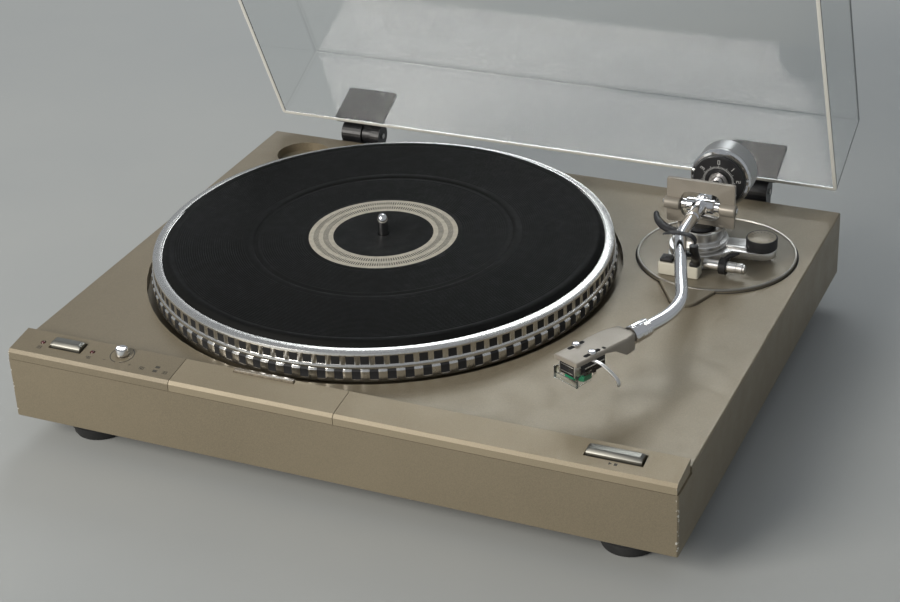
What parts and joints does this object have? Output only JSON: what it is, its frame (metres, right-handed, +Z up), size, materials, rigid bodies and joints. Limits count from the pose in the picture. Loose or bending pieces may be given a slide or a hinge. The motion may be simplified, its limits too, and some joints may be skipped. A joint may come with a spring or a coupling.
{
  "type": "turntable record player",
  "caption": "Direct-drive turntable with an S-shaped arm, strobe-dotted platter, sloping control strip and a hinged clear dust cover, shown open",
  "frame": {"origin": "on the ground under the middle of the bounding box, cover open", "axes": "+X to the player's right seen from the front, +Y to the rear, +Z up"},
  "size_m": [0.44, 0.423, 0.4082],
  "materials": {
    "champagne_paint": "low-gloss metallic paint, light scratches",
    "strip_paint": "brushed, warm silver paint",
    "black_enamel": "satin black enamel",
    "black_plastic": "satin black",
    "pressed_board": "pressed brown board",
    "rubber": "matt",
    "cast_aluminium": "turned and polished",
    "satin_silver": "satin",
    "chrome": "polished",
    "steel": "plated",
    "grey_paint": "satin",
    "clear_acrylic": "clear, lightly scratched",
    "lamp_red": "dark red lens",
    "cream_plastic": "satin",
    "green_plastic": "satin",
    "copper": "wound copper wire",
    "ferrite": "dark, matt",
    "circuit_board": "green lacquer",
    "brass": "turned"
  },
  "bodies": {
    "cabinet": {"cabinet": "champagne_paint", "bottom_cover": "pressed_board", "foot_front_left": "rubber", "foot_front_right": "rubber", "foot_rear_left": "rubber", "foot_rear_right": "rubber", "control_panel_left": "strip_paint", "control_panel_centre": "strip_paint", "control_panel_right": "strip_paint", "strobe_prism": "clear_acrylic", "strobe_lamp": "lamp_red", "speed_lamp_33": "lamp_red", "speed_lamp_45": "lamp_red", "motor_plate": "steel", "motor_stator": "copper", "spindle_bearing": "brass", "servo_board": "circuit_board", "power_transformer": "ferrite", "mains_gland": "black_plastic", "signal_sockets": "black_plastic", "ground_terminal": "steel", "hinge_bracket_left": "black_enamel", "hinge_bracket_right": "black_enamel", "hinge_pin_left": "steel", "hinge_pin_right": "steel", "arm_base_plate": "grey_paint", "arm_pillar": "satin_silver", "anti_skate_lug": "satin_silver", "cue_barrel": "satin_silver", "rest_block": "cream_plastic", "arm_cradle": "black_plastic"},
    "platter": {"platter": "cast_aluminium", "platter_mat": "rubber", "spindle": "chrome", "rotor_magnet": "ferrite"},
    "arm_yoke": {"gimbal_plate": "grey_paint", "yoke_shaft": "steel"},
    "tonearm": {"arm_tube": "chrome", "balance_shaft": "chrome", "headshell": "satin_silver", "finger_lift": "satin_silver", "cartridge_body": "black_plastic", "cartridge_screw_left": "chrome", "cartridge_screw_right": "chrome"},
    "collar": {"locking_collar": "satin_silver"},
    "stylus": {"stylus_assembly": "green_plastic"},
    "guard": {"stylus_guard": "clear_acrylic"},
    "nut": {"balance_nut": "steel"},
    "weight": {"counterweight": "cast_aluminium"},
    "dial": {"force_dial": "black_plastic"},
    "latch": {"rest_latch": "black_plastic"},
    "cueing_lever": {"cue_lever": "black_plastic"},
    "lift": {"lift_platform": "black_plastic"},
    "anti_skate": {"anti_skate_knob": "black_plastic"},
    "speed_key": {"speed_button": "satin_silver"},
    "play_cut_key": {"play_cut_button": "satin_silver"},
    "pitch": {"pitch_knob": "chrome"},
    "cover": {"dust_cover": "clear_acrylic", "hinge_leaf_left": "black_enamel", "hinge_leaf_right": "black_enamel"}
  },
  "joints": [
    {"name": "platter_spin", "type": "hinge", "parent": "cabinet", "child": "platter", "pos_m": [-0.0472, -0.02184, 0.07], "axis": [0, 0, 1], "continuous": true},
    {"name": "arm_swing", "type": "hinge", "parent": "cabinet", "child": "arm_yoke", "pos_m": [0.149, 0.05226, 0.08], "axis": [0, 0, -1], "range_deg": [0, 52]},
    {"name": "arm_lift", "type": "hinge", "parent": "arm_yoke", "child": "tonearm", "pos_m": [0.149, 0.05226, 0.1048], "axis": [-1, 0, 0], "range_deg": [0, 2.5]},
    {"name": "collar_turn", "type": "hinge", "parent": "tonearm", "child": "collar", "pos_m": [0.16338, -0.11446, 0.1024], "axis": [-0.4115, -0.9114, 0], "range_deg": [0, 60]},
    {"name": "stylus_pull", "type": "slide", "parent": "tonearm", "child": "stylus", "axis": [-0.4115, -0.9114, 0], "range_m": [0, 0.012]},
    {"name": "guard_flip", "type": "hinge", "parent": "stylus", "child": "guard", "pos_m": [0.13914, -0.16233, 0.0974], "axis": [-0.9114, 0.4115, 0], "range_deg": [0, 50]},
    {"name": "counterweight_turn", "type": "hinge", "parent": "tonearm", "child": "nut", "pos_m": [0.149, 0.05226, 0.1048], "axis": [0, 1, 0], "range_deg": [-360, 360]},
    {"name": "counterweight_feed", "type": "slide", "parent": "nut", "child": "weight", "axis": [0, 1, 0], "range_m": [-0.002, 0.002]},
    {"name": "force_dial_turn", "type": "hinge", "parent": "weight", "child": "dial", "pos_m": [0.149, 0.05226, 0.1048], "axis": [0, 1, 0], "continuous": true},
    {"name": "rest_latch_turn", "type": "hinge", "parent": "cabinet", "child": "latch", "pos_m": [0.1632, -0.00224, 0.1042], "axis": [0, 1, 0], "range_deg": [0, 100]},
    {"name": "cue_lever_turn", "type": "hinge", "parent": "cabinet", "child": "cueing_lever", "pos_m": [0.172, 0.02876, 0.0756], "axis": [1, 0, 0], "range_deg": [0, 70]},
    {"name": "lift_rise", "type": "slide", "parent": "cabinet", "child": "lift", "axis": [0, 0, 1], "range_m": [0, 0.0013]},
    {"name": "anti_skate_turn", "type": "hinge", "parent": "cabinet", "child": "anti_skate", "pos_m": [0.189, 0.05816, 0.08], "axis": [0, 0, -1], "range_deg": [0, 270]},
    {"name": "speed_button_push", "type": "slide", "parent": "cabinet", "child": "speed_key", "axis": [0, 0, -1], "range_m": [0, 0.0015], "stiffness_N_per_m": 400, "springref_m": -0.001},
    {"name": "play_cut_push", "type": "slide", "parent": "cabinet", "child": "play_cut_key", "axis": [0, 0, -1], "range_m": [0, 0.0015], "stiffness_N_per_m": 400, "springref_m": -0.001},
    {"name": "pitch_turn", "type": "hinge", "parent": "cabinet", "child": "pitch", "pos_m": [-0.1446, -0.19564, 0.07], "axis": [0, 0, 1], "range_deg": [-135, 135]},
    {"name": "cover_swing", "type": "hinge", "parent": "cabinet", "child": "cover", "pos_m": [0, 0.15926, 0.0685], "axis": [1, 0, 0], "range_deg": [0, 65]}
  ],
  "couplings": [
    {"joint": "cue_lever_turn", "follows": "arm_lift", "ratio": 27},
    {"joint": "lift_rise", "follows": "arm_lift", "m_per_rad": 0.029},
    {"joint": "counterweight_feed", "follows": "counterweight_turn", "m_per_rad": 0.00023873}
  ]
}
